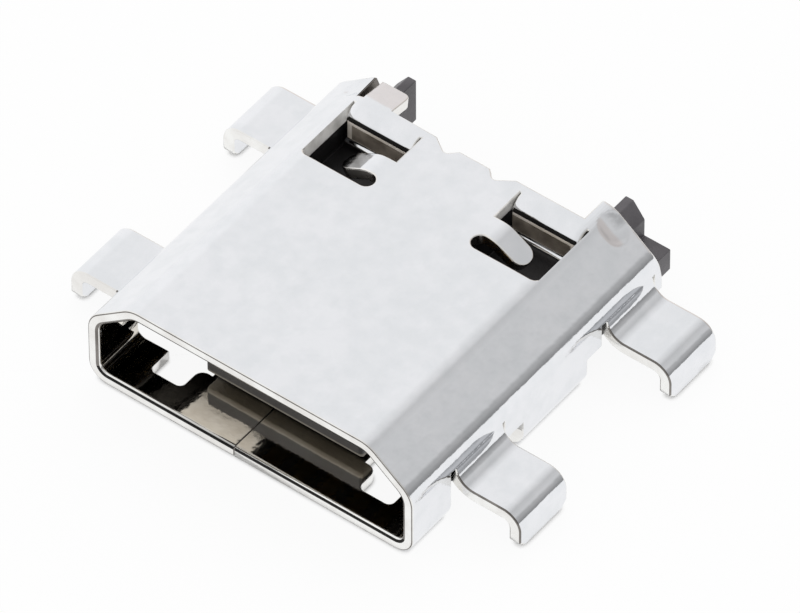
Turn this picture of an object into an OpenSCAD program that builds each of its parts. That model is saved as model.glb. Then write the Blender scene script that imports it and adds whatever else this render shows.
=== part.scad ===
// Charging port connector of a phone: a folded metal shell, a moulded housing with a tongue,
// and five formed contacts. Millimetres. X is the width, Y runs from the mouth to the tails, Z is up.
// Heights count from the shell's underside, and depths from the plane of the mouth.

/* [Shell section] */
// Inside width of the mouth
mouth_w = 6.9; // [6.8:0.02:7.0]
// Inside height of the mouth
mouth_h = 1.85; // [1.8:0.01:1.95]
// Thickness of the sheet
sheet = 0.25; // [0.2:0.01:0.28]
// Outside width of the narrow top wall, between its sharp corners
crown_w = 5.42; // [5.3:0.02:5.6]
// Height of the upright side wall, to its sharp corner
side_h = 1.56; // [1.5:0.01:1.65]
// Outside bend radius between the floor and a side
floor_r = 0.42; // [0.35:0.01:0.5]
// Outside bend radius between a side and its sloping wall
shoulder_r = 0.6; // [0.4:0.02:0.8]
// Outside bend radius between a sloping wall and the top
crown_r = 0.6; // [0.4:0.02:0.8]

/* [Shell lengths] */
// Length of the top wall
top_l = 6.8; // [6.5:0.01:6.9]
// How far a sloping wall reaches behind the top wall
slope_past = 0.56; // [0.4:0.01:0.6]
// How far a side wall reaches behind the sloping wall, low down
side_past = 0.14; // [0.1:0.01:0.4]
// Height above which a side wall is cut back to the sloping wall's length
side_trim_top = 1.7; // [1.5:0.05:1.9]
// Height below which a side wall keeps its full length
side_trim_low = 1.0; // [0.8:0.05:1.2]
// How far the floor ends ahead of the top wall's rear edge
floor_short = 0.6; // [0.3:0.01:0.7]
// Left end of the shallow step in the top wall's rear edge
step_left = -0.57; // [-0.8:0.01:-0.2]
// Right end of the shallow step
step_right = 0.55; // [0.2:0.01:0.8]
// Depth of the shallow step
step_deep = 0.05; // [0.02:0.01:0.14]
// Radius at the bottom of the notch at each end of the step
notch_r = 0.1; // [0.1:0.01:0.18]
// Depth of those notches
notch_deep = 0.22; // [0.16:0.01:0.25]
// Slope of a notch's flank beside the step, in degrees
notch_inner = 45; // [35:1:60]
// Slope of a notch's outer flank, in degrees
notch_outer = 35; // [30:1:60]

/* [Floor seam] */
// Place of the seam across the floor
seam_x = -0.36; // [-0.6:0.02:0]
// Width of the seam
seam_gap = 0.03; // [0.02:0.01:0.05]
// Distance from the mouth to the dovetail
key_y = 1.6; // [0.3:0.01:3.0]
// Length of the dovetail along the seam
key_l = 1.06; // [0.8:0.02:1.6]
// Reach of the dovetail across the seam
key_reach = 0.27; // [0.2:0.01:0.4]
// How far the dovetail flares at each side
key_flare = 0.05; // [0.02:0.01:0.1]

/* [Windows in the top] */
// Distance from a window to the crown's sharp corner
win_edge = 0.01; // [0:0.01:0.1]
// Width of a window
win_w = 1.57; // [1.5:0.01:1.7]
// Length of a window
win_l = 1.3; // [1.2:0.01:1.4]
// Distance from the flap's upright face to the top wall's rear edge
win_margin = 0.5; // [0.38:0.01:0.6]
// Length of the round-ended slot ahead of the finger
win_slot = 0.35; // [0.3:0.01:0.45]
// Width of the finger
finger_w = 0.5; // [0.3:0.01:0.55]
// Length of the finger past its bend
finger_l = 0.6; // [0.5:0.01:0.7]
// Downward bend of the finger, in degrees
finger_tilt = 30; // [20:1:36]
// Inner bend radius of the finger
finger_r = 0.35; // [0.1:0.01:0.45]
// Inner bend radius of the flap on a window's rear edge
flap_r = 0.05; // [0.03:0.01:0.1]
// Straight drop of the flap below its bend
flap_drop = 0.42; // [0.2:0.01:0.5]
// Gap between the flap's ends and the window's sides
flap_gap = 0.04; // [0.03:0.01:0.15]

/* [Rear lock] */
// Distance from the lock tab to the crown's sharp corner
tab_edge = 0.1; // [0:0.01:0.12]
// Width of the lock tab
tab_w = 0.66; // [0.6:0.01:0.8]
// Length of the lock tab past its bend
tab_l = 0.52; // [0.45:0.01:0.75]
// Downward bend of the lock tab, in degrees
tab_tilt = 8; // [5:1:20]
// Inner bend radius of the lock tab
tab_r = 0.2; // [0.1:0.01:0.3]
// Corner radius of the lock tab
tab_corner_r = 0.12; // [0.05:0.01:0.2]
// Width of the slit beside the lock tab
slit_w = 0.13; // [0.08:0.01:0.2]
// Width of the right-hand lug, up to the crown's sharp corner
lug_w = 0.27; // [0.25:0.01:0.4]
// Radius of the tool that presses the stake on each sloping wall
stake_r = 0.75; // [0.6:0.01:0.9]
// Depth of the stake
stake_deep = 0.06; // [0.05:0.01:0.12]
// Distance from the stake to its sloping wall's rear edge
stake_end = 0.31; // [0.15:0.01:0.4]
// Distance from the crown's sharp corner down to the stake's round end
stake_l = 0.34; // [0.25:0.01:0.45]

/* [Legs] */
// How far a leg stands out from the side wall, to its outer face
leg_out = 1.44; // [1.4:0.01:1.7]
// Width of a leg
leg_w = 1.4; // [1.2:0.01:1.5]
// Distance from the mouth to a front leg
front_leg_y = 1.3; // [1.1:0.01:1.4]
// Distance from a rear leg to the side wall's rear end
rear_leg_end = 0.28; // [0.2:0.01:0.4]
// Height of the circuit board's upper face, on which the legs and tails sit
board_z = 0.61; // [0.55:0.01:0.66]
// Bend radius where a leg leaves the wall
leg_root_r = 0.38; // [0.3:0.01:0.42]
// Inner radius of the bend down into the board
leg_bend_r = 0.15; // [0.12:0.01:0.25]
// Height of a leg's tip above the underside
leg_tip_z = 0.03; // [0.02:0.01:0.1]
// Bevel at each corner of a leg's tip
leg_bevel = 0.15; // [0.05:0.01:0.2]
// Width of the relief slit along a leg's outer edge
relief_w = 0.14; // [0.1:0.01:0.16]
// Width of the cut that frees a leg's other edge from the wall
lance_gap = 0.03; // [0.02:0.01:0.05]
// How far the openings beside a leg reach above the board
leg_gap_h = 0.09; // [0.05:0.01:0.15]
// Clear width behind a front leg and ahead of a rear leg
leg_gap_w = 0.58; // [0.4:0.01:0.7]
// Distance from the middle to where a leg's blank ends in the floor
blank_inner = 2.15; // [2.05:0.01:2.3]
// Width of the slot ahead of the front blank
fore_slot_w = 0.72; // [0.5:0.01:0.8]
// How far that slot reaches ahead of the front blank's relief
fore_slot_l = 0.57; // [0.4:0.01:0.6]
// Distance from the middle to that slot
fore_slot_x = 2.03; // [1.95:0.01:2.1]
// Corner radius of that slot
fore_slot_r = 0.12; // [0.08:0.01:0.2]
// Distance from the middle to the notch beside the front blank
fore_notch_x = 1.5; // [1.4:0.01:1.7]
// Length of that notch
fore_notch_l = 0.45; // [0.35:0.01:0.6]
// Radius of the corner between the slot and the notch
fore_corner_r = 0.2; // [0.1:0.01:0.22]

/* [Housing] */
// Gap between the housing and the shell
fit_gap = 0.02; // [0.01:0.005:0.04]
// How far the housing's front face lies ahead of the windows
body_lead = 0.05; // [0.02:0.01:0.1]
// How far the housing's block reaches behind the top wall
body_past = 0.4; // [0.35:0.01:0.55]
// Gap between a window's flap and the step down in the block behind it
deck_lead = 0.05; // [0.03:0.01:0.25]
// Height of the block behind that step
deck_z = 1.5; // [1.4:0.01:1.6]
// Gap between the housing's foot and the openings in the floor
foot_gap = 0.05; // [0.03:0.01:0.15]
// Height of the housing's underside beside the foot
wing_z = 0.5; // [0.45:0.01:0.55]
// Depth of the pocket below a window's flap
pocket_deep = 0.28; // [0.2:0.01:0.35]
// Gap between the housing and a window's finger and flap
pocket_gap = 0.06; // [0.04:0.01:0.1]

/* [Ears] */
// Length of an ear behind the block
ear_l = 0.92; // [0.8:0.01:1.0]
// Width of an ear
ear_w = 1.03; // [0.95:0.01:1.15]
// Width of an ear's upper part
ear_post_w = 0.44; // [0.4:0.01:0.55]
// Gap between the lock tab's tip and the ear below it
tab_clear = 0.23; // [0.02:0.005:0.3]
// Height of the slope on an ear's outer edge
ear_slope_h = 0.35; // [0.25:0.01:0.45]
// Width of that slope
ear_slope_w = 0.26; // [0.15:0.01:0.35]
// How far an ear's lower part lies below its top
ear_step_h = 0.77; // [0.65:0.01:0.85]
// Height of an ear's underside at its inner face
ear_under_z = 0.75; // [0.6:0.01:0.8]

/* [Tongue] */
// Distance from the outermost contact to the tongue's side
tongue_edge = 0.3; // [0.2:0.01:0.35]
// Distance from the mouth to the tongue's nose
tongue_front = 1.0; // [0.95:0.01:1.1]
// Height of the tongue's underside
tongue_low = 0.48; // [0.45:0.01:0.5]
// Thickness of the tongue
tongue_t = 0.64; // [0.6:0.01:0.68]
// Bevel along the upper edge of the tongue's nose
nose_bevel = 0.22; // [0.08:0.01:0.24]
// Bevel along the nose's lower edge and its upright corners
nose_edge = 0.05; // [0.03:0.01:0.1]

/* [Contacts] */
// Distance from one contact to the next
pitch = 0.65; // [0.64:0.002:0.66]
// Width of a contact
contact_w = 0.36; // [0.3:0.01:0.4]
// Thickness of a contact
contact_t = 0.15; // [0.12:0.01:0.16]
// Height of a contact's face above the tongue
contact_proud = 0.03; // [0.02:0.01:0.05]
// Distance from the nose to a contact's end
contact_inset = 0.3; // [0.25:0.01:0.4]
// Inner bend radius of a contact
contact_r = 0.12; // [0.1:0.01:0.15]
// Distance from the bend at a contact's back to the block's rear face
contact_back = 0.25; // [0.2:0.01:0.3]
// How far a tail ends ahead of the ears' rear ends
tail_short = 0.4; // [0.2:0.01:0.5]
// Gap round a contact in the housing
contact_gap = 0.01; // [0.005:0.005:0.02]

/* [Hidden] */
CONTACTS = 5;
// A cutter reaches this far past what it cuts
over = 1;
// A formed strip starts this far inside the wall that carries it
root = 0.05;
// Largest turn between two facets of a bend, in degrees
bend_step = 7.5;
metal = [0.84, 0.85, 0.86];
plastic = [0.16, 0.15, 0.16];
gilt = [0.83, 0.69, 0.40];

// The shell's outside, and the depths at which its walls end
shell_w = mouth_w + 2 * sheet;
shell_h = mouth_h + 2 * sheet;
slope_l = top_l + slope_past;
side_l = slope_l + side_past;
floor_l = top_l - floor_short;

// Edges of a window, of its finger and of its flap. The flap's bend starts at the window's far end
win_outer = crown_w / 2 - win_edge;
win_inner = win_outer - win_w;
win_rear = top_l - win_margin;
win_front = win_rear - win_l;
finger_x = win_inner + win_slot / 2;
finger_front = win_front + win_slot;
finger_rear = finger_front + finger_w;
flap_y = win_rear + flap_r + sheet;

// Edges of the lock tab, and the lowest points of the flap and of the tab
tab_outer = crown_w / 2 - tab_edge;
tab_inner = tab_outer - tab_w;
flap_low = shell_h - sheet - flap_r - flap_drop;
tab_low = shell_h - sheet / 2 * (1 + cos(tab_tilt)) - (tab_r + sheet / 2) * (1 - cos(tab_tilt))
          - tab_l * sin(tab_tilt);

// Faces of a leg, and the place of a rear one
leg_reach = shell_w / 2 + leg_out;
leg_top = board_z + sheet;
leg_root_z = leg_top + leg_root_r;
leg_gap_z = board_z + leg_gap_h;
rear_leg_y = side_l - rear_leg_end - leg_w;

// Faces of the housing
body_front = win_front - body_lead;
body_rear = top_l + body_past;
deck_y = win_rear + sheet + deck_lead;
ear_rear = body_rear + ear_l;
ear_top = tab_low - tab_clear;
tongue_top = tongue_low + tongue_t;

// Vector arithmetic in the plane
function unit(v) = v / norm(v);
function normal(a) = [-sin(a), cos(a)];
function along(a) = [cos(a), sin(a)];
function wrap(a) = a > 180 ? a - 360 : a < -180 ? a + 360 : a;

// Half the angle between the two edges that meet in corner b
function half_angle(a, b, c) = acos(unit(a - b) * unit(c - b)) / 2;

// Corner b moved inwards, so that both its edges move by d
function inset_corner(a, b, c, d) = b + unit(unit(a - b) + unit(c - b)) * d / sin(half_angle(a, b, c));

// Corner b rounded to radius r, as points from the first edge to the second
function round_corner(a, b, c, r) =
    let (half = half_angle(a, b, c),
         centre = b + unit(unit(a - b) + unit(c - b)) * r / sin(half),
         from = b + unit(a - b) * r / tan(half) - centre,
         to = b + unit(c - b) * r / tan(half) - centre,
         start = atan2(from.y, from.x),
         turn = wrap(atan2(to.y, to.x) - start),
         steps = ceil(abs(turn) / bend_step))
    [for (i = [0:steps]) centre + r * along(start + turn * i / steps)];

// The mouth's outline, d inside the shell's outer face. Each corner keeps the bend's centre
function section(d) =
    let (q = [[shell_w / 2, 0], [shell_w / 2, side_h], [crown_w / 2, shell_h],
              [-crown_w / 2, shell_h], [-shell_w / 2, side_h], [-shell_w / 2, 0]],
         r = [floor_r, shoulder_r, crown_r, crown_r, shoulder_r, floor_r],
         n = len(q),
         p = [for (i = [0:n - 1]) inset_corner(q[(i + n - 1) % n], q[i], q[(i + 1) % n], d)])
    [for (i = [0:n - 1]) each round_corner(p[(i + n - 1) % n], p[i], p[(i + 1) % n], r[i] - d)];

// Stations [place, heading] along the middle of a strip of thickness t. Each bend is
// [straight run, turn in degrees, inner radius]
function stations(bends, t, p, a, i = 0) =
    i == len(bends) ? [[p, a]] :
    let (q = p + bends[i][0] * along(a),
         turn = bends[i][1],
         r = sign(turn) * (bends[i][2] + t / 2),
         steps = max(1, ceil(abs(turn) / bend_step)),
         bend = [for (k = [0:steps - 1]) a + turn * k / steps])
    concat([[p, a]],
           turn == 0 ? [] : [for (b = bend) [q + r * normal(a) - r * normal(b), b]],
           stations(bends, t, q + r * normal(a) - r * normal(a + turn), a + turn, i + 1));

// Outline of that strip, with each face at half its thickness from the middle
function strip(bends, t, p, a) =
    let (s = stations(bends, t, p, a), n = len(s) - 1)
    concat([for (i = [0:n]) s[i][0] + t / 2 * normal(s[i][1])],
           [for (i = [0:n]) s[n - i][0] - t / 2 * normal(s[n - i][1])]);

// An outline drawn in X and Z, made solid from y to y + w
module across_y(y, w) {
    translate([0, y + w, 0]) rotate([90, 0, 0]) linear_extrude(w) children();
}

// An outline drawn in Y and Z, made solid from x to x + w
module across_x(x, w) {
    translate([x, 0, 0]) rotate([90, 0, 90]) linear_extrude(w) children();
}

// A block between two corners
module block(low, high) {
    translate(low) cube(high - low);
}

// The part's frame has its origin under the middle of the whole connector
module placed() {
    translate([0, -ear_rear / 2, 0]) children();
}

module both_sides() {
    children();
    mirror([1, 0, 0]) children();
}

// Folded ring of sheet, open at the mouth and the rear
module ring() {
    across_y(0, side_l) difference() {
        polygon(section(0));
        polygon(section(sheet));
    }
}

// A point on a straight flank that leaves a notch's round bottom, counted from the bottom's centre
function flank(side, slope, rise) =
    [side * (notch_r * sin(slope) + rise / tan(slope)), rise - notch_r * cos(slope)];

// Metal trimmed from the rear end: the slanted ends of the sides, the short top with its shallow
// step between two notches, the slit beside the lock tab, and the short floor
module rear_trim() {
    notch_y = top_l - notch_deep + notch_r;
    across_x(-shell_w, 2 * shell_w) polygon([
        [slope_l, shell_h + over], [slope_l, side_trim_top], [side_l, side_trim_low],
        [side_l + over, side_trim_low], [side_l + over, shell_h + over]]);
    block([-tab_outer - slit_w, top_l, side_h],
          [crown_w / 2 - lug_w, side_l + over, shell_h + over]);
    block([step_left, top_l - step_deep, side_h], [step_right, top_l + over, shell_h + over]);
    for (end = [[step_left, notch_outer, notch_inner], [step_right, notch_inner, notch_outer]])
        translate([end[0], notch_y, side_h]) {
            cylinder(r = notch_r, h = shell_h, $fn = 32);
            linear_extrude(shell_h) polygon([
                flank(1, end[2], 0), flank(1, end[2], over),
                flank(-1, end[1], over), flank(-1, end[1], 0)]);
        }
    block([-shell_w, floor_l, -over], [shell_w, side_l + over, leg_gap_z - sheet]);
}

// The seam where the folded sheet meets itself, with one dovetail
module seam() {
    far_x = seam_x + key_reach;
    path = [[seam_x, -over], [seam_x, key_y + key_flare], [far_x, key_y],
            [far_x, key_y + key_l], [seam_x, key_y + key_l - key_flare], [seam_x, side_l + over]];
    for (i = [0:len(path) - 2]) {
        step = path[i + 1] - path[i];
        translate([path[i].x, path[i].y, -over]) rotate(atan2(step.y, step.x))
            translate([-seam_gap / 2, -seam_gap / 2, 0])
                cube([norm(step) + seam_gap, seam_gap, over + sheet + root]);
    }
}

// One window, with the round inner end of its front slot. Metal stays at the finger's root, and the
// flap is bent down from the window's whole far end
module window() {
    r = win_slot / 2;
    block([finger_x, win_front, side_h], [win_outer, flap_y, shell_h + over]);
    block([win_inner, finger_rear, side_h], [win_outer, flap_y, shell_h + over]);
    translate([finger_x, win_front + r, side_h]) cylinder(r = r, h = shell_h, $fn = 32);
}

// Openings that a leg's blank leaves in the side and the floor. The relief is a slit at the leg's
// free edge, and the clear gap is at its other edge, where a narrow cut frees the leg up to its root
module leg_opening(y, gap_ahead, gap_behind) {
    block([blank_inner, y - gap_ahead, -over], [shell_w, y + leg_w + gap_behind, leg_gap_z]);
    block([shell_w / 2 - sheet - root, y - relief_w, -over],
          [shell_w, y + leg_w + lance_gap, leg_root_z]);
}

// Slot in the floor ahead of the front blank, the notch beside that blank, and the round corner
// between the two
module fore_slot() {
    rear = front_leg_y - relief_w;
    front = rear - fore_slot_l;
    r = fore_slot_r;
    c = fore_corner_r;
    high = sheet + root;
    for (x = [fore_slot_x + r, fore_slot_x + fore_slot_w - r])
        translate([x, front + r, -over]) cylinder(r = r, h = over + high, $fn = 32);
    block([fore_slot_x + r, front, -over], [fore_slot_x + fore_slot_w - r, rear + root, high]);
    block([fore_slot_x, front + r, -over], [fore_slot_x + fore_slot_w, rear + root, high]);
    block([fore_notch_x, rear, -over], [blank_inner + root, rear + fore_notch_l, high]);
    difference() {
        block([fore_slot_x - c, rear - c, -over], [fore_slot_x + root, rear + root, high]);
        translate([fore_slot_x - c, rear - c, -2 * over])
            cylinder(r = c, h = 3 * over, $fn = 32);
    }
}

// A leg: out of the wall, flat on the board, then down through it, with its tip's corners bevelled
module leg(y) {
    flat = leg_reach - shell_w / 2 - leg_root_r - leg_bend_r - sheet;
    drop = leg_top - sheet - leg_bend_r - leg_tip_z;
    intersection() {
        across_y(y, leg_w)
            polygon(strip([[root, 90, leg_root_r], [flat, -90, leg_bend_r], [drop, 0, 0]],
                          sheet, [(shell_w - sheet) / 2, leg_root_z + root], -90));
        across_x(0, leg_reach + over) polygon([
            [y, leg_root_z + over], [y, leg_tip_z + leg_bevel], [y + leg_bevel, leg_tip_z],
            [y + leg_w - leg_bevel, leg_tip_z], [y + leg_w, leg_tip_z + leg_bevel],
            [y + leg_w, leg_root_z + over]]);
    }
}

// The finger of a window, bent down from the window's inner edge, with a round end
module finger() {
    tip_r = finger_w / 2;
    tip_x = finger_x + (finger_r + sheet) * sin(finger_tilt) + finger_l * cos(finger_tilt) - tip_r;
    intersection() {
        across_y(finger_front, finger_w)
            polygon(strip([[root, -finger_tilt, finger_r], [finger_l, 0, 0]],
                          sheet, [finger_x - root, shell_h - sheet / 2], 0));
        union() {
            block([finger_x - root, finger_front, 0], [tip_x, finger_rear, shell_h]);
            translate([tip_x, finger_front + tip_r, 0]) cylinder(r = tip_r, h = shell_h, $fn = 32);
        }
    }
}

// The flap bent down from a window's far end
module flap() {
    across_x(win_inner + flap_gap, win_outer - win_inner - 2 * flap_gap)
        polygon(strip([[root, 90, flap_r], [flap_drop, 0, 0]],
                      sheet, [flap_y + root, shell_h - sheet / 2], 180));
}

// The lock tab bent down over the left ear, with round corners
module lock_tab() {
    rear = top_l + (tab_r + sheet / 2) * sin(tab_tilt) + tab_l * cos(tab_tilt);
    r = tab_corner_r;
    mirror([1, 0, 0]) intersection() {
        across_x(tab_inner, tab_w)
            polygon(strip([[root, -tab_tilt, tab_r], [tab_l, 0, 0]],
                          sheet, [top_l - root, shell_h - sheet / 2], 0));
        union() {
            block([tab_inner, top_l - root, side_h], [tab_outer, rear - r, shell_h]);
            block([tab_inner + r, top_l - root, side_h], [tab_outer - r, rear, shell_h]);
            for (x = [tab_inner + r, tab_outer - r])
                translate([x, rear - r, side_h]) cylinder(r = r, h = shell_h - side_h, $fn = 32);
        }
    }
}

// The stake pressed into a sloping wall: a round-ended groove that starts above the crown's corner
module stake() {
    slope = atan2(shell_h - side_h, (shell_w - crown_w) / 2);
    translate([crown_w / 2, slope_l - stake_end, shell_h]) rotate([0, slope, 0])
        translate([stake_l, 0, stake_r - stake_deep]) {
            sphere(r = stake_r, $fn = 48);
            rotate([0, -90, 0]) cylinder(r = stake_r, h = 2 * stake_l, $fn = 48);
        }
}

module shell() {
    color(metal) placed() {
        difference() {
            ring();
            rear_trim();
            seam();
            both_sides() {
                window();
                leg_opening(front_leg_y, relief_w, leg_gap_w);
                leg_opening(rear_leg_y, leg_gap_w, side_l);
                fore_slot();
                stake();
            }
        }
        both_sides() {
            leg(front_leg_y);
            leg(rear_leg_y);
            finger();
            flap();
        }
        lock_tab();
    }
}

// One contact's strip, grown by g all round: along the tongue, down behind the housing's back, and
// out along the board
module contact_strip(g) {
    t = contact_t + 2 * g;
    top_z = tongue_top + contact_proud - contact_t / 2;
    foot_z = board_z + contact_t / 2;
    from = tongue_front + contact_inset - g;
    r = contact_r - g;
    fall = top_z - foot_z;
    bends = 2 * contact_r + contact_t;
    turn = fall < bends ? acos(1 - fall / bends) : 90;
    drop = max(0, fall - bends);
    back = body_rear - contact_back;
    out = ear_rear - tail_short - back - bends * sin(turn);
    across_x(-contact_w / 2 - g, contact_w + 2 * g)
        polygon(strip([[back - from, -turn, r], [drop, turn, r], [out, 0, 0]],
                      t, [from, top_z], 0));
}

module contact(i) {
    color(gilt) placed() translate([(i - (CONTACTS - 1) / 2) * pitch, 0, 0]) contact_strip(0);
}

// Moulded block that fills the shell's rear end, with its foot on the floor
module body() {
    difference() {
        across_y(body_front, body_rear - body_front) polygon(section(sheet + fit_gap));
        both_sides()
            block([blank_inner - foot_gap, body_front - over, -over],
                  [shell_w, body_rear + over, wing_z]);
        block([-shell_w, deck_y, deck_z], [shell_w, body_rear + over, shell_h]);
    }
}

// The well under a window, which leaves room for the finger and the flap
module pocket() {
    block([win_inner - pocket_gap, body_front - over, flap_low - pocket_deep],
          [win_outer + pocket_gap, deck_y, shell_h]);
}

// An ear, which runs from inside the block to the far end
module ear() {
    outer = mouth_w / 2 - fit_gap;
    inner = outer - ear_w;
    post = inner + ear_post_w;
    step_z = ear_top - ear_step_h;
    across_y(deck_y - root, ear_rear - deck_y + root) polygon([
        [inner, ear_under_z], [post, ear_under_z], [post, wing_z], [outer, wing_z],
        [outer, step_z], [post, step_z], [post, ear_top - ear_slope_h],
        [post - ear_slope_w, ear_top], [inner, ear_top]]);
}

// The tongue, with a bevelled nose and an open channel for each contact
module tongue() {
    w = (CONTACTS - 1) / 2 * pitch + contact_w / 2 + tongue_edge;
    b = nose_bevel;
    e = nose_edge;
    intersection() {
        across_x(-w, 2 * w) polygon([
            [tongue_front, tongue_low + e], [tongue_front + e, tongue_low],
            [body_front + root, tongue_low], [body_front + root, tongue_top],
            [tongue_front + b, tongue_top], [tongue_front, tongue_top - b]]);
        translate([0, 0, tongue_low]) linear_extrude(tongue_top - tongue_low) polygon([
            [-w + e, tongue_front], [w - e, tongue_front], [w, tongue_front + e],
            [w, body_front + root], [-w, body_front + root], [-w, tongue_front + e]]);
    }
}

module housing() {
    color(plastic) placed() difference() {
        union() {
            body();
            tongue();
            both_sides() ear();
        }
        both_sides() pocket();
        for (i = [0:CONTACTS - 1])
            translate([(i - (CONTACTS - 1) / 2) * pitch, 0, 0]) contact_strip(contact_gap);
    }
}

module contact_power() { contact(0); }
module contact_data_minus() { contact(1); }
module contact_data_plus() { contact(2); }
module contact_id() { contact(3); }
module contact_ground() { contact(4); }

shell();
housing();
contact_power();
contact_data_minus();
contact_data_plus();
contact_id();
contact_ground();
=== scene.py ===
"""Charging port connector of a phone, lying loose on a white floor.

The pieces follow in the order in which they are put together: the folded shell, the moulded
housing, then the contacts. The photographer's table, lamps and camera come last.
"""

from math import asin, atan2, ceil, cos, degrees, hypot, radians, sin, sqrt, tan

import bmesh
import bpy
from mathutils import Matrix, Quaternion, Vector


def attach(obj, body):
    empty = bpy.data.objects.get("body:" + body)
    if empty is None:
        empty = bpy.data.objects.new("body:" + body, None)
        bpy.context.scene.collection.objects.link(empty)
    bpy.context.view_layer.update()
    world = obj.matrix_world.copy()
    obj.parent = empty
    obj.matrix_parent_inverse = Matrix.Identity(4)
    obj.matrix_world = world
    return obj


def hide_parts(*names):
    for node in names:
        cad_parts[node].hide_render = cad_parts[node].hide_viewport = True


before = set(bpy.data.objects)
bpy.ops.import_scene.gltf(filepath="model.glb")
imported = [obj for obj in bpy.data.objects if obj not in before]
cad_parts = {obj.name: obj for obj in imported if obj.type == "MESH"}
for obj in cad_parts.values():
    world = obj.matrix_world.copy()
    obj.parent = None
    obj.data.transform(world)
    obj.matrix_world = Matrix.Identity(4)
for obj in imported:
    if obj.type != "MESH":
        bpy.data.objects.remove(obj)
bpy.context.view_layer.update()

# Shell
# One strip of stainless sheet 0.25 mm thick, blanked, folded to a tube and closed by a dovetail in
# its floor, then nickel plated. Legs, window fingers, flaps and lock tab are bent out of the strip.
# Sizes are in millimetres, and depths count from the mouth until the piece is placed.

MM = 0.001
DEPTH = 8.12                # whole depth of the connector
SHEET = 0.25
HALF_W, SHOULDER = 3.7, 1.56
HALF_CROWN, TOP = 2.71, 2.35
FLOOR_BEND, SHOULDER_BEND = 0.42, 0.6
TOP_L, SLOPE_L, SIDE_L, FLOOR_L = 6.8, 7.36, 7.5, 6.2
SEAM, SEAM_GAP = -0.36, 0.03
LEG_W, LEG_ROOT = 1.4, 1.24
FRONT_LEG, REAR_LEG = 1.3, 5.82
BLANK_END, BLANK_TOP = 2.15, 0.7
WINDOW_IN, WINDOW_OUT, WINDOW_FRONT, WINDOW_REAR = 1.13, 2.7, 5.0, 6.3
FINGER_FRONT, FINGER_W, SLOT_R = 5.35, 0.5, 0.175
FLAP_BEND = 0.3
STAKE_R, STAKE_DEEP, STAKE_L = 0.75, 0.06, 0.34
SHEARED_EDGE = 0.03         # rounding that shearing and plating leave on an edge
LEAD_IN = 0.08              # rounding on the mouth's inner edge, over which the plug slides in
RIGHT, BACK, UP = Vector((1, 0, 0)), Vector((0, 1, 0)), Vector((0, 0, 1))


def fold(mesh, end, heading, face, moves):
    """Carries the sheet on from its end. Each move is a straight run, a bend in degrees towards the
    outer face, or away from it where negative, and the outer face's radius in that bend."""
    for run, bend, radius in moves:
        if run:
            end = bmesh.ops.spin(mesh, geom=end, axis=heading, angle=0, steps=1,
                                 dvec=heading * run)["geom_last"]
        if bend:
            towards = face if bend > 0 else -face
            at = max((part.co for part in end if isinstance(part, bmesh.types.BMVert)),
                     key=lambda place: place.dot(face))
            axis, angle = heading.cross(towards), radians(abs(bend))
            end = bmesh.ops.spin(mesh, geom=end, cent=at + towards * radius, axis=axis,
                                 angle=angle, steps=ceil(abs(bend) / 6))["geom_last"]
            heading = Quaternion(axis, angle) @ heading
            face = Quaternion(axis, angle) @ face
    return [part for part in end if isinstance(part, bmesh.types.BMVert)]


def score(mesh, faces, point, outward):
    """Cuts the faces along a plane and gives those behind it."""
    parts = list({part for face in faces for part in (face, *face.edges, *face.verts)})
    cut = bmesh.ops.bisect_plane(mesh, geom=parts, dist=1e-4, plane_co=point, plane_no=outward)
    return [part for part in cut["geom"] if isinstance(part, bmesh.types.BMFace)
            and (part.calc_center_median() - point).dot(outward) < 0]


def facing(mesh, direction, least=0.25):
    return [face for face in mesh.faces if face.normal.dot(direction) > least]


def punch(mesh, faces, planes):
    """Punches out what lies behind every plane."""
    for point, outward in planes:
        faces = score(mesh, faces, point, outward)
    bmesh.ops.delete(mesh, geom=faces, context="FACES")


def square(x=None, y=None, z=None):
    """The planes of a square punch between limits in each direction."""
    planes = []
    for axis, limits in ((BACK, y), (UP, z), (RIGHT, x)):
        if limits:
            planes += [(axis * min(limits), -axis), (axis * max(limits), axis)]
    return planes


def arc(x, y, radius, start, turn):
    """Points round part of a circle, from a start angle in degrees."""
    steps = ceil(abs(turn) / 15)
    angles = [radians(start + turn * step / steps) for step in range(steps + 1)]
    return [(x + radius * cos(angle), y + radius * sin(angle)) for angle in angles]


def outlined(points, side=1):
    """The planes of a punch with this outline, given anticlockwise for the right-hand side. Those
    of the square around it come first, so that no later cut runs on past it."""
    places = [Vector((side * x, y, 0)) for x, y in points]
    xs, ys = zip(*points)
    return (square((side * min(xs), side * max(xs))) + square(None, (min(ys), max(ys)))
            + [(start, (end - start).cross(UP).normalized() * side)
               for start, end in zip(places, places[1:] + places[:1])])


def root(mesh, direction, low, high):
    """The free edge between two points of a wall, from which a strip is bent."""
    low, high = Vector(low), Vector(high)
    for point in (low, high):
        score(mesh, facing(mesh, direction, 0.9), point,
              Vector((high.x - low.x, high.y - low.y, 0)))
    edges = [edge for edge in mesh.edges if edge.is_boundary and all(
        min(a, b) - 0.001 < c < max(a, b) + 0.001
        for vert in edge.verts for a, b, c in zip(low, high, vert.co))]
    return edges + list({vert for edge in edges for vert in edge.verts})


def round_corners(mesh, verts, radius, segments):
    corners = [vert for vert in verts if len(vert.link_edges) == 2]
    bmesh.ops.bevel(mesh, geom=corners, offset=radius, offset_type="OFFSET", affect="VERTICES",
                    segments=segments, profile=0.5, material=-1)


def clean(mesh):
    bmesh.ops.remove_doubles(mesh, verts=mesh.verts, dist=0.004)
    bmesh.ops.dissolve_limit(mesh, angle_limit=radians(0.3), use_dissolve_boundaries=False,
                             verts=mesh.verts, edges=mesh.edges)
    bmesh.ops.recalc_face_normals(mesh, faces=mesh.faces)


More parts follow.
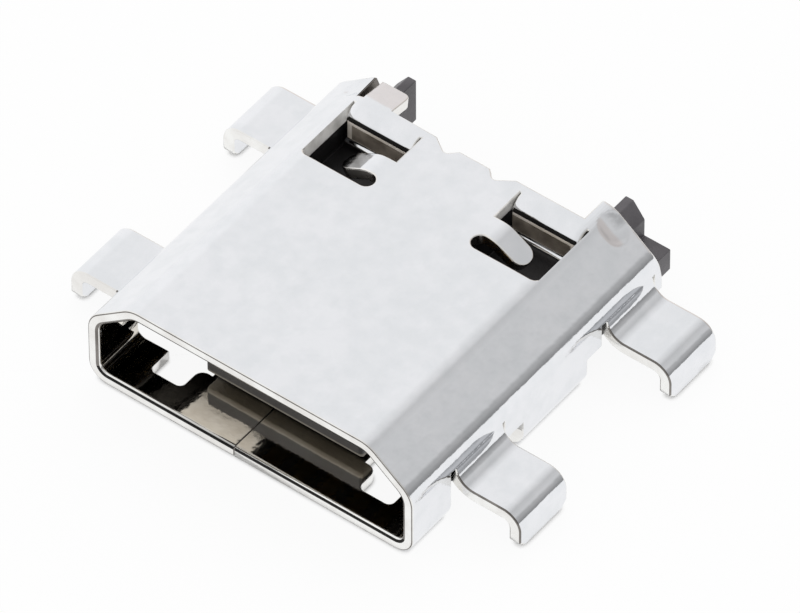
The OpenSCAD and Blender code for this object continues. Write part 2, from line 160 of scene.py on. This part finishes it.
# The tube's outer face, from the seam round to the seam
lean = degrees(atan2(TOP - SHOULDER, HALF_W - HALF_CROWN))
crown_half = HALF_CROWN - SHOULDER_BEND * tan(radians(lean / 2))
past_shoulder = SHOULDER_BEND * tan(radians(45 - lean / 2))
wall = SHOULDER - past_shoulder - FLOOR_BEND
slope = hypot(TOP - SHOULDER, HALF_W - HALF_CROWN) - past_shoulder - (HALF_CROWN - crown_half)
# Where the openings' edges run along the bends beside the top, and the turns between them
edges_at = [degrees(asin((x - crown_half) / SHOULDER_BEND)) for x in (2.66, WINDOW_OUT, 2.74)]
turns = [end - start for start, end in zip([0] + edges_at, edges_at + [lean])]
up_to_top = [(0, -turn, SHOULDER_BEND) for turn in reversed(turns)]
down_from_top = [(0, -turn, SHOULDER_BEND) for turn in turns]
shell_mesh = bmesh.new()
seam_end = bmesh.ops.create_vert(shell_mesh, co=(SEAM, 0, 0))["vert"]
fold(shell_mesh, seam_end, RIGHT, -UP, [
    (HALF_W - FLOOR_BEND - SEAM, -90, FLOOR_BEND), (wall, lean - 90, SHOULDER_BEND),
    (slope, 0, 0), *up_to_top, (2 * crown_half, 0, 0), *down_from_top,
    (slope, lean - 90, SHOULDER_BEND), (wall, -90, FLOOR_BEND),
    (HALF_W - FLOOR_BEND + SEAM, 0, 0)])
fold(shell_mesh, shell_mesh.verts[:] + shell_mesh.edges[:], BACK, UP, [(SIDE_L, 0, 0)])
clean(shell_mesh)

# Windows, and the openings that the legs' blanks leave
flap_root = WINDOW_REAR + FLAP_BEND
slot_x = WINDOW_IN + SLOT_R
for side in (1, -1):
    for window in ([(slot_x, WINDOW_FRONT), *arc(WINDOW_OUT - 0.16, WINDOW_FRONT + 0.16, 0.16, 270, 90),
                    (WINDOW_OUT, flap_root), (slot_x, flap_root)],
                   [(WINDOW_IN, FINGER_FRONT + FINGER_W), (slot_x, FINGER_FRONT + FINGER_W),
                    (slot_x, flap_root), (WINDOW_IN, flap_root)],
                   arc(slot_x, WINDOW_FRONT + SLOT_R, SLOT_R, 90, 180)):
        punch(shell_mesh, facing(shell_mesh, UP), outlined(window, side))
    for leg, front, rear in ((FRONT_LEG, 1.16, 3.28), (REAR_LEG, 5.24, 8)):
        punch(shell_mesh, shell_mesh.faces[:],
              square((side * BLANK_END, side * 4), (front, rear), (-1, BLANK_TOP)))
        punch(shell_mesh, shell_mesh.faces[:],
              square((side * 3.4, side * 4), (leg - 0.14, leg + LEG_W + 0.03), (-1, LEG_ROOT)))
    fore_slot = arc(2.15, 0.71, 0.12, 180, 90) + arc(2.63, 0.71, 0.12, 270, 90)
    punch(shell_mesh, facing(shell_mesh, -UP),
          outlined(fore_slot + [(2.75, 1.2), (2.03, 1.2)], side))
    punch(shell_mesh, facing(shell_mesh, -UP),
          outlined([(1.75, 1.16), (2.2, 1.16), (2.2, 1.61), (1.75, 1.61)], side))
    fore_corner = arc(1.83, 0.96, 0.2, 0, 90)
    for start, end in zip(fore_corner, fore_corner[1:]):
        punch(shell_mesh, facing(shell_mesh, -UP), outlined([(2.04, 1.17), end, start], side))

# The rear end: short top with a shallow step between two notches, slanted sides, short floor
punch(shell_mesh, facing(shell_mesh, UP), square((-2.74, 2.44), (TOP_L, 8)))
punch(shell_mesh, facing(shell_mesh, UP), square((-0.57, 0.55), (TOP_L - 0.05, TOP_L)))
for x, start, left, right in ((-0.57, 235, 0.49, 0.36), (0.55, 225, 0.36, 0.49)):
    punch(shell_mesh, facing(shell_mesh, UP),
          outlined(arc(x, TOP_L - 0.12, 0.1, start, 80)
                   + [(x + right, TOP_L + 0.1), (x - left, TOP_L + 0.1)]))
punch(shell_mesh, shell_mesh.faces[:], square(None, (SLOPE_L, 8), (1.7, 3)))
punch(shell_mesh, shell_mesh.faces[:], square(None, None, (0.9, 1.7))
      + [(Vector((0, SLOPE_L, 1.7)), Vector((0, -0.981, -0.196)))])
punch(shell_mesh, facing(shell_mesh, -UP), square(None, (FLOOR_L, 8), (-1, 0.45)))

# The seam with its dovetail
seam_path = [Vector((x, y, 0)) for x, y in (
    (SEAM, -1), (SEAM, 1.65), (-0.09, 1.6), (-0.09, 2.66), (SEAM, 2.61), (SEAM, 8))]
for start, end in zip(seam_path, seam_path[1:]):
    along = (end - start).normalized() * SEAM_GAP / 2
    across = UP.cross(along)
    punch(shell_mesh, facing(shell_mesh, -UP),
          [(start - along, -along), (end + along, along),
           (start - across, -across), (start + across, across)])
clean(shell_mesh)

# What is bent out of the walls
for side in (1, -1):
    out = RIGHT * side
    for leg in (FRONT_LEG, REAR_LEG):
        leg_root = root(shell_mesh, out, (side * HALF_W, leg, LEG_ROOT),
                        (side * HALF_W, leg + LEG_W, LEG_ROOT))
        leg_tip = fold(shell_mesh, leg_root, -UP, out,
                       [(0, 90, 0.38), (0.66, -90, 0.40), (0.43, 0, 0)])
        round_corners(shell_mesh, leg_tip, 0.15, 1)
    finger_root = root(shell_mesh, UP, (side * slot_x, FINGER_FRONT, TOP),
                       (side * slot_x, FINGER_FRONT + FINGER_W, TOP))
    finger_tip = fold(shell_mesh, finger_root, out, UP, [(0, -30, 0.6), (0.6, 0, 0)])
    round_corners(shell_mesh, finger_tip, 0.24, 8)
    flap = root(shell_mesh, UP, (side * 1.15, flap_root, 2.3), (side * 2.66, flap_root, TOP))
    fold(shell_mesh, flap, -BACK, UP, [(0, -90, FLAP_BEND), (0.36, 60, 0.05), (0.06, 0, 0)])
tab_root = root(shell_mesh, UP, (-2.61, TOP_L, 2.3), (-1.95, TOP_L, TOP))
tab_tip = fold(shell_mesh, tab_root, BACK, UP, [(0, -8, 0.45), (0.52, 0, 0)])
round_corners(shell_mesh, tab_tip, 0.12, 4)
clean(shell_mesh)

# The sheet's thickness, with its sheared rim rounded
OUTER, RIM, INNER, PAINTED_BROWN_REFLECTION, JOINT_AND_PAINTED_EDGE_SHADE, PAINTED_BLACK_SHADE_LINE, PAINTED_CREAM_HIGHLIGHT, TORN = 0, 1, 2, 3, 4, 5, 6, 7
outer_faces = set(shell_mesh.faces)
free_edges = [edge for edge in shell_mesh.edges if edge.is_boundary]
bmesh.ops.solidify(shell_mesh, geom=shell_mesh.faces[:], thickness=SHEET)
for face in shell_mesh.faces:
    face.material_index = OUTER if face in outer_faces else INNER
    if face in outer_faces and face.calc_center_median().y > 6:
        # Down a window's flap: a painted black shade line along its bend, a painted cream highlight
        # below it, and a painted brown-grey reflection of the dark pocket on the upright face
        for index, steepest in ((PAINTED_BLACK_SHADE_LINE, -0.87), (PAINTED_CREAM_HIGHLIGHT, -0.975), (PAINTED_BROWN_REFLECTION, -0.999)):
            if face.normal.y < steepest:
                face.material_index = index
for edge in free_edges:
    for face in set(edge.link_faces) - outer_faces:
        face.material_index = RIM
rim = [edge for edge in shell_mesh.edges
       if sum(face.material_index == RIM for face in edge.link_faces) == 1]
mouth = [edge for edge in rim if max(vert.co.y for vert in edge.verts) < 0.001
         and any(face.material_index == INNER for face in edge.link_faces)]
for edges, width in ((mouth, LEAD_IN), (rim, SHEARED_EDGE)):
    bmesh.ops.bevel(shell_mesh, geom=[edge for edge in edges if edge.is_valid], offset=width,
                    offset_type="OFFSET", affect="EDGES", segments=2, profile=0.5, material=RIM,
                    clamp_overlap=False)
for face in shell_mesh.faces:
    middle = face.calc_center_median()
    at_mouth = middle.y < SHEARED_EDGE and -0.99 < face.normal.y < -0.6
    in_seam = middle.z < SHEET + 0.1 and -0.45 < middle.x < 0 and abs(face.normal.y) < 0.99
    in_slit = middle.y > TOP_L and -2.8 < middle.x < -2.6 and middle.z < TOP - 0.04
    beside_wall = abs(middle.x) > HALF_W + 0.02
    along_leg = (beside_wall and middle.x > -4.2 and -0.99 < face.normal.y < -0.3
                 and abs(face.normal.x) + face.normal.z > 0.1)
    in_window = 4.9 < middle.y < 6.62 and 1.0 < abs(middle.x) < 2.8 and middle.z > 1.2
    outwards = face.normal.x * (1 if middle.x > 0 else -1)
    window_side = (abs(middle.x) > 2.55 and outwards < -0.3
                   or middle.y > 6.1 and abs(middle.x) < 1.2 and outwards > 0.3)
    by_finger = abs(middle.x) < 2.4 and middle.y < 6.1 and face.normal.z < 0.3
    # Rim faces at the mouth, along the legs and by the fingers are painted dark as painted shade; at
    # the seam and the lock tab's slit the same dark tone marks a dark joint.
    if face.material_index == RIM and (at_mouth or in_seam or in_slit or along_leg
                                       or in_window and by_finger):
        face.material_index = JOINT_AND_PAINTED_EDGE_SHADE
    elif face.material_index == RIM and in_window and window_side:
        face.material_index = TORN
    elif face.material_index == INNER and beside_wall:
        face.material_index = OUTER
    # The lower lip of the mouth gets the same near-black tone: a painted shade line.
    if at_mouth and middle.z < 0.4 and face.normal.z > 0.1:
        face.material_index = PAINTED_BLACK_SHADE_LINE

# The stakes, pressed into the sloping walls by a round-nosed tool
for side in (1, -1):
    corner = Vector((side * HALF_CROWN, SLOPE_L - 0.31, TOP))
    down = Vector((side * (HALF_W - HALF_CROWN), 0, SHOULDER - TOP)).normalized()
    out = Vector((side * (TOP - SHOULDER), 0, HALF_W - HALF_CROWN)).normalized()


    def near_stake():
        return [face for face in facing(shell_mesh, out, 0.6)
                if (face.calc_center_median() - corner).y > -0.42
                and side * face.calc_center_median().x > 2.3]


    score(shell_mesh, [face for face in facing(shell_mesh, out, 0.6)
                       if side * face.calc_center_median().x > 2.3], corner - BACK * 0.4, BACK)
    for step in range(-5, 20):
        score(shell_mesh, near_stake(), corner + down * 0.04 * step, down)
    for step in range(-9, 8):
        score(shell_mesh, near_stake(), corner + BACK * 0.04 * step, BACK)
    for vert in {vert for face in near_stake() for vert in face.verts}:
        arm = vert.co - corner
        reach = hypot(arm.y, max(0, arm.dot(down) - STAKE_L))
        if reach < STAKE_R:
            pressed = STAKE_R - STAKE_DEEP - sqrt(STAKE_R ** 2 - reach ** 2)
            if arm.dot(out) > pressed:
                vert.co += out * (pressed - arm.dot(out))
bmesh.ops.translate(shell_mesh, vec=-BACK * DEPTH / 2, verts=shell_mesh.verts)


def outline_copy(node):
    """A node's mesh in millimetres, with each flat or bend one clean set of faces."""
    copy = bmesh.new()
    copy.from_mesh(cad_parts[node].data)
    bmesh.ops.scale(copy, vec=(1 / MM,) * 3, verts=copy.verts)
    bmesh.ops.remove_doubles(copy, verts=copy.verts, dist=0.0008)
    bmesh.ops.dissolve_degenerate(copy, edges=copy.edges, dist=0.0008)
    bmesh.ops.dissolve_limit(copy, angle_limit=radians(0.6), use_dissolve_boundaries=False,
                             verts=copy.verts, edges=copy.edges)
    return copy


def round_edges(mesh, width, segments, above=20):
    """Rounds each edge that turns by more than a bend's small facets do."""
    sharp = [e for e in mesh.edges if e.is_manifold and e.calc_face_angle(0) > radians(above)]
    bmesh.ops.bevel(mesh, geom=sharp, offset=width, offset_type="OFFSET", affect="EDGES",
                    segments=segments, profile=0.5, material=-1, clamp_overlap=False)


def as_piece(mesh, name, *materials):
    """The finished piece in metres. At each point the larger faces lead the shading, so bends look
    smooth and flats look flat right up to a rounded edge."""
    mesh.normal_update()
    shading = [sum((face.normal * face.calc_area() for face in vert.link_faces),
                   Vector()).normalized() for vert in mesh.verts]
    bmesh.ops.scale(mesh, vec=(MM,) * 3, verts=mesh.verts)
    for face in mesh.faces:
        face.smooth = True
    data = bpy.data.meshes.new(name)
    mesh.to_mesh(data)
    mesh.free()
    data.normals_split_custom_set_from_vertices(shading)
    for material in materials:
        data.materials.append(material)
    piece = bpy.data.objects.new(name, data)
    bpy.context.collection.objects.link(piece)
    return piece


def srgb(hex_colour):
    """A hex colour as the linear values that a shader works in."""
    values = [int(hex_colour[i:i + 2], 16) / 255 for i in (1, 3, 5)]
    return tuple(v / 12.92 if v <= 0.04045 else ((v + 0.055) / 1.055) ** 2.4 for v in values) + (1,)


def add(tree, kind, inputs=(), **settings):
    """Adds a node with its settings. Each input is a value or another node's output."""
    made = tree.nodes.new(kind)
    for key, value in settings.items():
        setattr(made, key, value)
    for key, value in dict(inputs).items():
        if isinstance(value, bpy.types.NodeSocket):
            tree.links.new(value, made.inputs[key])
        else:
            made.inputs[key].default_value = value
    return made


def nickel_plated_sheet(name, dark, light, least_rough, most_rough, painted_inner_shade=None, metal=1.0,
                        wave=0.01):
    # Bright nickel over rolled steel: a soft mirror. Handling leaves dull smudges and hairlines.
    # Inside the tube the colour is painted darker from the mouth inwards, down to a deep tone: painted
    # shade. Where metal is set below one, less of the light is mirrored and more is scattered.
    material = bpy.data.materials.new(name)
    material.use_nodes = True
    tree = material.node_tree
    tree.nodes.clear()
    place = add(tree, "ShaderNodeTexCoord").outputs["Object"]
    smudge = add(tree, "ShaderNodeTexNoise",
                 {"Vector": place, "Scale": 1 / (1.6 * MM), "Detail": 5, "Roughness": 0.62})
    cloud = add(tree, "ShaderNodeTexNoise",
                {"Vector": place, "Scale": 1 / (0.35 * MM), "Detail": 3, "Roughness": 0.5})
    blend = add(tree, "ShaderNodeMath", {0: smudge.outputs["Fac"], 1: cloud.outputs["Fac"]},
                operation="MULTIPLY")
    tone = add(tree, "ShaderNodeValToRGB", {"Fac": blend.outputs[0]})
    tone.color_ramp.elements[0].position = 0.14
    tone.color_ramp.elements[0].color = srgb(dark)
    tone.color_ramp.elements[1].position = 0.34
    tone.color_ramp.elements[1].color = srgb(light)
    dull = add(tree, "ShaderNodeMapRange",
               {"Value": smudge.outputs["Fac"], "From Min": 0.35, "From Max": 0.65,
                "To Min": least_rough, "To Max": most_rough})
    grain = add(tree, "ShaderNodeTexNoise",
                {"Vector": place, "Scale": 1 / (0.12 * MM), "Detail": 2})
    bump = add(tree, "ShaderNodeBump",
               {"Height": grain.outputs["Fac"], "Strength": 0.05, "Distance": 0.02 * MM})
    # Rolling and folding leave faint waves, which the mirrored room shows at the bends
    waves = add(tree, "ShaderNodeTexNoise",
                {"Vector": place, "Scale": 1 / (0.7 * MM), "Detail": 3, "Roughness": 0.6})
    bump = add(tree, "ShaderNodeBump",
               {"Height": waves.outputs["Fac"], "Normal": bump.outputs["Normal"],
                "Strength": 1.0, "Distance": wave * MM})
    colour = tone.outputs["Color"]
    if painted_inner_shade:
        inwards = add(tree, "ShaderNodeSeparateXYZ", {"Vector": place})
        painted_shade_inwards = add(tree, "ShaderNodeMapRange",
                   {"Value": inwards.outputs["Y"], "From Min": -3.4 * MM, "From Max": -1.6 * MM})
        # Sockets 0, 6 and 7 are the factor and the two colours, and output 2 is the mixed colour
        colour = add(tree, "ShaderNodeMix", {0: painted_shade_inwards.outputs["Result"], 6: colour, 7: srgb(painted_inner_shade)},
                     data_type="RGBA").outputs[2]
    skin = add(tree, "ShaderNodeBsdfPrincipled",
               {"Base Color": colour, "Metallic": metal,
                "Roughness": dull.outputs["Result"], "Normal": bump.outputs["Normal"]})
    add(tree, "ShaderNodeOutputMaterial", {"Surface": skin.outputs["BSDF"]})
    return material


shell = as_piece(
    shell_mesh, "shell_sheet",
    nickel_plated_sheet("bright nickel plate on rolled steel sheet", "#E6E8EB", "#EDEEF1", .06, .12),
    nickel_plated_sheet("nickel plate on a sheared edge", "#E8E6E3", "#F6F6F4", .10, .20),
    # Inside the fold the colour darkens from the mouth inwards to a deep tone: painted shade.
    nickel_plated_sheet("nickel plate inside the fold", "#EAE4DA", "#F8F4EC", .04, .09, "#6E6A66",
                        wave=0.003),
    # Painted brown-grey reflection of the dark pocket on a flap's upright face.
    nickel_plated_sheet("nickel plate with a painted brown-grey reflection", "#857A6E", "#BDB1A3", .4, .55,
                        metal=0.5),
    # Dark rounded edges: dark joints at the seam and slit, painted shade everywhere else.
    nickel_plated_sheet("thin nickel on a rounded edge", "#6E6A66", "#8E8A86", .22, .34),
    # Painted black shade line along a flap's bend and under the mouth's lower lip.
    nickel_plated_sheet("painted black line of shade along a bend", "#0E0D0C", "#1E1C1A", .6, .7, metal=0.5),
    # Painted cream highlight just below a flap's bend.
    nickel_plated_sheet("nickel with a painted cream highlight below a bend", "#E6DCCE", "#F8F0E6", .3, .45, metal=0.1),
    nickel_plated_sheet("sheared face of the sheet, torn and dull", "#B9B7B3", "#EDEBE8", .45, .6,
                        metal=0.35))
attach(shell, "root")
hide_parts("shell")

# Housing
# One injection moulding in black glass-filled polymer, pushed into the shell from the rear. Its
# tongue stands in the mouth, and its two stepped ears stand out behind the lock tab and the lug.

MOULD_EDGE = 0.02       # rounding that the tool leaves on an edge, mm


def moulded_black_polymer():
    # Glass-filled polymer off a spark-eroded tool: charcoal, dull, with a fine even grain. Out behind
    # the shell, at the ears, it is mid charcoal; under the shell it is painted near black as painted
    # shade. The lower edge of the tongue's nose is painted lighter as a painted highlight.
    material = bpy.data.materials.new("black glass-filled polymer, spark-eroded grain")
    material.use_nodes = True
    tree = material.node_tree
    tree.nodes.clear()
    place = add(tree, "ShaderNodeTexCoord").outputs["Object"]
    flow = add(tree, "ShaderNodeTexNoise", {"Vector": place, "Scale": 1 / (0.8 * MM), "Detail": 4})
    tone = add(tree, "ShaderNodeValToRGB", {"Fac": flow.outputs["Fac"]})
    tone.color_ramp.elements[0].position = 0.35
    tone.color_ramp.elements[0].color = srgb("#464347")
    tone.color_ramp.elements[1].position = 0.65
    tone.color_ramp.elements[1].color = srgb("#5C595D")
    inwards = add(tree, "ShaderNodeSeparateXYZ", {"Vector": place})
    # Near black where the shell covers the moulding: painted shade.
    painted_shade_under_shell = add(tree, "ShaderNodeMapRange",
                  {"Value": inwards.outputs["Y"], "From Min": 3.0 * MM, "From Max": 2.6 * MM})
    tone = add(tree, "ShaderNodeMix", {0: painted_shade_under_shell.outputs["Result"], 6: tone.outputs["Color"],
                                       7: srgb("#1C1A1C")}, data_type="RGBA")
    # A lighter band on the lower front edge of the tongue's nose: a painted highlight.
    nose = add(tree, "ShaderNodeMapRange",
               {"Value": inwards.outputs["Y"], "From Min": -2.7 * MM, "From Max": -2.78 * MM})
    lower = add(tree, "ShaderNodeMapRange",
                {"Value": inwards.outputs["Z"], "From Min": 0.59 * MM, "From Max": 0.55 * MM})
    painted_glint_on_nose = add(tree, "ShaderNodeMath", {0: nose.outputs["Result"], 1: lower.outputs["Result"]},
                 operation="MULTIPLY")
    tone = add(tree, "ShaderNodeMix", {0: painted_glint_on_nose.outputs[0], 6: tone.outputs[2],
                                       7: srgb("#8A857B")}, data_type="RGBA")
    grain = add(tree, "ShaderNodeTexNoise", {"Vector": place, "Scale": 1 / (0.05 * MM), "Detail": 2})
    bump = add(tree, "ShaderNodeBump",
               {"Height": grain.outputs["Fac"], "Strength": 0.35, "Distance": 0.01 * MM})
    skin = add(tree, "ShaderNodeBsdfPrincipled",
               {"Base Color": tone.outputs[2], "Roughness": 0.48, "IOR": 1.6,
                "Normal": bump.outputs["Normal"]})
    add(tree, "ShaderNodeOutputMaterial", {"Surface": skin.outputs["BSDF"]})
    return material


housing_mesh = outline_copy("housing")
round_edges(housing_mesh, MOULD_EDGE, 2)
housing = as_piece(housing_mesh, "housing_moulding", moulded_black_polymer())
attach(housing, "root")
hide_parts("housing")

# Contacts
# Five strips of phosphor bronze 0.15 mm thick, stamped, formed and gilt. Each lies in its channel
# on the tongue, drops behind the housing and ends in a tail for its solder pad.

STAMPED_EDGE = 0.015    # rounding on a stamped contact's edge, mm


def gilt_bronze():
    # Thin gold on nickel on bronze: warm, fairly bright, with drawn lines along the strip.
    material = bpy.data.materials.new("flash gold on phosphor bronze")
    material.use_nodes = True
    tree = material.node_tree
    tree.nodes.clear()
    place = add(tree, "ShaderNodeTexCoord").outputs["Object"]
    along = add(tree, "ShaderNodeMapping", {"Vector": place, "Scale": (1, 0.06, 1)})
    lines = add(tree, "ShaderNodeTexNoise",
                {"Vector": along.outputs["Vector"], "Scale": 1 / (0.04 * MM), "Detail": 2})
    tone = add(tree, "ShaderNodeValToRGB", {"Fac": lines.outputs["Fac"]})
    tone.color_ramp.elements[0].position = 0.3
    tone.color_ramp.elements[0].color = srgb("#C9A35C")
    tone.color_ramp.elements[1].position = 0.7
    tone.color_ramp.elements[1].color = srgb("#E8CB8B")
    bump = add(tree, "ShaderNodeBump",
               {"Height": lines.outputs["Fac"], "Strength": 0.15, "Distance": 0.01 * MM})
    skin = add(tree, "ShaderNodeBsdfPrincipled",
               {"Base Color": tone.outputs["Color"], "Metallic": 1.0, "Roughness": 0.28,
                "Normal": bump.outputs["Normal"]})
    add(tree, "ShaderNodeOutputMaterial", {"Surface": skin.outputs["BSDF"]})
    return material


gilt = gilt_bronze()
for name in ("contact_power", "contact_data_minus", "contact_data_plus", "contact_id",
             "contact_ground"):
    contact_mesh = outline_copy(name)
    round_edges(contact_mesh, STAMPED_EDGE, 2)
    contact = as_piece(contact_mesh, name + "_strip", gilt)
    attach(contact, "root")
    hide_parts(name)

# Table
# A white photographer's table. It shows white to the camera and in the metal, and keeps the
# connector's own soft shadow.


def white_table():
    # Matt white laminate, lifted to paper white where the camera or the metal sees it, except in the
    # narrow painted contact shadow where the metal stands on it. It is open to a look from below.
    material = bpy.data.materials.new("matt white table laminate")
    material.use_nodes = True
    tree = material.node_tree
    tree.nodes.clear()
    path = add(tree, "ShaderNodeLightPath")
    seen = add(tree, "ShaderNodeMath",
               {0: path.outputs["Is Camera Ray"], 1: path.outputs["Is Glossy Ray"]},
               operation="MAXIMUM")
    seen = add(tree, "ShaderNodeMath",
               {0: seen.outputs[0], 1: path.outputs["Is Transmission Ray"]}, operation="MAXIMUM")
    # Occlusion close to the metal lowers the glow: a painted contact shadow.
    contact = add(tree, "ShaderNodeAmbientOcclusion", {"Distance": 0.12 * MM}, samples=8)
    glow_less_painted_contact_shadow = add(tree, "ShaderNodeMapRange",
               {"Value": contact.outputs["AO"], "From Min": 0.35, "From Max": 0.8,
                "To Min": 0.1, "To Max": 0.92})
    glow_less_painted_contact_shadow = add(tree, "ShaderNodeMath", {0: seen.outputs[0], 1: glow_less_painted_contact_shadow.outputs["Result"]},
               operation="MULTIPLY")
    laminate = add(tree, "ShaderNodeBsdfDiffuse", {"Color": srgb("#F4F4F4")})
    glow = add(tree, "ShaderNodeEmission", {"Color": (1, 1, 1, 1), "Strength": 1.0})
    mix = add(tree, "ShaderNodeMixShader",
              {"Fac": glow_less_painted_contact_shadow.outputs[0], 1: laminate.outputs["BSDF"], 2: glow.outputs["Emission"]})
    side = add(tree, "ShaderNodeNewGeometry")
    glass = add(tree, "ShaderNodeBsdfTransparent")
    mix = add(tree, "ShaderNodeMixShader",
              {"Fac": side.outputs["Backfacing"], 1: mix.outputs["Shader"], 2: glass.outputs["BSDF"]})
    add(tree, "ShaderNodeOutputMaterial", {"Surface": mix.outputs["Shader"]})
    return material


table_mesh = bmesh.new()
bmesh.ops.create_grid(table_mesh, x_segments=1, y_segments=1, size=2.0)
bmesh.ops.translate(table_mesh, vec=-UP * 0.002 * MM, verts=table_mesh.verts)
table_data = bpy.data.meshes.new("table_top")
table_mesh.to_mesh(table_data)
table_mesh.free()
table_data.materials.append(white_table())
table_top = bpy.data.objects.new("table_top", table_data)
bpy.context.collection.objects.link(table_top)

# Lamps
# A white room that the metal mirrors. It is bright on the left, grey on the right and dark along
# the foot of its right-hand and back walls, and one large softbox hangs above and behind.

world = bpy.data.worlds.new("white studio room")
bpy.context.scene.world = world
world.use_nodes = True
room = world.node_tree
room.nodes.clear()
room_path = add(room, "ShaderNodeLightPath")
room_seen = add(room, "ShaderNodeMath",
                {0: room_path.outputs["Is Camera Ray"],
                 1: room_path.outputs["Is Transmission Ray"]}, operation="MAXIMUM")
room_level = add(room, "ShaderNodeMapRange",
                 {"Value": room_seen.outputs[0], "To Min": 0.86, "To Max": 1.0})
way = add(room, "ShaderNodeSeparateXYZ",
          {"Vector": add(room, "ShaderNodeTexCoord").outputs["Generated"]})
across = add(room, "ShaderNodeMapRange",
             {"Value": way.outputs["X"], "From Min": -1.0, "From Max": 1.0})
walls = add(room, "ShaderNodeValToRGB", {"Fac": across.outputs["Result"]})
walls.color_ramp.elements[1].color = (0.3, 0.3, 0.3, 1)
walls.color_ramp.elements[0].color = (1, 1, 1, 1)
for place, level in ((0.18, 1.0), (0.295, 0.94), (0.5, 0.78), (0.64, 0.6), (0.75, 0.64),
                     (0.81, 0.67), (0.84, 0.6), (0.865, 0.46), (0.92, 0.4)):
    walls.color_ramp.elements.new(place).color = (level, level, level, 1)
foot = add(room, "ShaderNodeValToRGB", {"Fac": way.outputs["Z"]})
foot.color_ramp.elements[0].color = (0.36, 0.36, 0.36, 1)
foot.color_ramp.elements[1].position = 0.3
foot.color_ramp.elements[1].color = (0, 0, 0, 1)
foot.color_ramp.elements.new(0.12).color = (0.2, 0.2, 0.2, 1)
foot_side = add(room, "ShaderNodeMapRange",
                {"Value": way.outputs["X"], "From Min": -0.8, "From Max": -0.2})
missing = add(room, "ShaderNodeMath",
              {0: foot.outputs["Color"], 1: foot_side.outputs["Result"]}, operation="MULTIPLY")
mirrored = add(room, "ShaderNodeMath", {0: 1.0, 1: missing.outputs[0]}, operation="SUBTRACT")
mirrored = add(room, "ShaderNodeMath",
               {0: mirrored.outputs[0], 1: walls.outputs["Color"]}, operation="MULTIPLY")
room_level = add(room, "ShaderNodeMapRange",
                 {"Value": room_path.outputs["Is Glossy Ray"],
                  "To Min": room_level.outputs["Result"], "To Max": mirrored.outputs[0]})
back_wall = add(room, "ShaderNodeMapRange",
                {"Value": way.outputs["Y"], "From Min": 0.6, "From Max": 0.72})
back_wall = add(room, "ShaderNodeMath",
                {0: back_wall.outputs["Result"], 1: room_path.outputs["Is Glossy Ray"]},
                operation="MULTIPLY")
warmth = add(room, "ShaderNodeValToRGB", {"Fac": back_wall.outputs[0]})
warmth.color_ramp.elements[0].color = (1, 1, 1, 1)
warmth.color_ramp.elements[1].color = (0.93, 0.87, 0.84, 1)
room_light = add(room, "ShaderNodeBackground",
                 {"Color": warmth.outputs["Color"], "Strength": room_level.outputs["Result"]})
add(room, "ShaderNodeOutputWorld", {"Surface": room_light.outputs["Background"]})


def softbox(name, azimuth, elevation, distance, size, radiance):
    """A square area lamp that faces the connector and that the metal doesn't mirror, because the
    room's walls already give what the metal shows."""
    lamp = bpy.data.lights.new(name, "AREA")
    lamp.shape = "SQUARE"
    lamp.size = size
    lamp.energy = radiance * 3.14159 * size * size
    stand = bpy.data.objects.new(name, lamp)
    a, e = radians(azimuth), radians(elevation)
    towards = Vector((sin(a) * cos(e), -cos(a) * cos(e), sin(e)))
    stand.location = towards * distance
    stand.rotation_mode = "QUATERNION"
    stand.rotation_quaternion = towards.to_track_quat("Z", "Y")
    stand.visible_glossy = False
    bpy.context.collection.objects.link(stand)
    return stand


softbox("softbox above and behind", 217, 50, 1.0, 0.9, 0.9)

# Camera
# A long lens, which looks down at the mouth from its right-hand side.

VIEW_AZIMUTH = radians(37.55)
VIEW_ELEVATION = radians(47.16)
VIEW_ROLL = radians(-0.23)
VIEW_DISTANCE = 238.5 * MM
VIEW_CENTRE = Vector((0.578, -0.338, 1.405)) * MM

optics = bpy.data.cameras.new("long lens")
optics.sensor_width = 36
optics.lens = 592.3
optics.clip_start = 0.01
optics.clip_end = 10
camera = bpy.data.objects.new("camera", optics)
towards_camera = Vector((sin(VIEW_AZIMUTH) * cos(VIEW_ELEVATION),
                         -cos(VIEW_AZIMUTH) * cos(VIEW_ELEVATION), sin(VIEW_ELEVATION)))
camera.rotation_mode = "QUATERNION"
camera.rotation_quaternion = (towards_camera.to_track_quat("Z", "Y")
                              @ Quaternion((0, 0, 1), VIEW_ROLL))
camera.location = VIEW_CENTRE + towards_camera * VIEW_DISTANCE
bpy.context.collection.objects.link(camera)
bpy.context.scene.camera = camera
bpy.context.scene.view_settings.view_transform = "Standard"
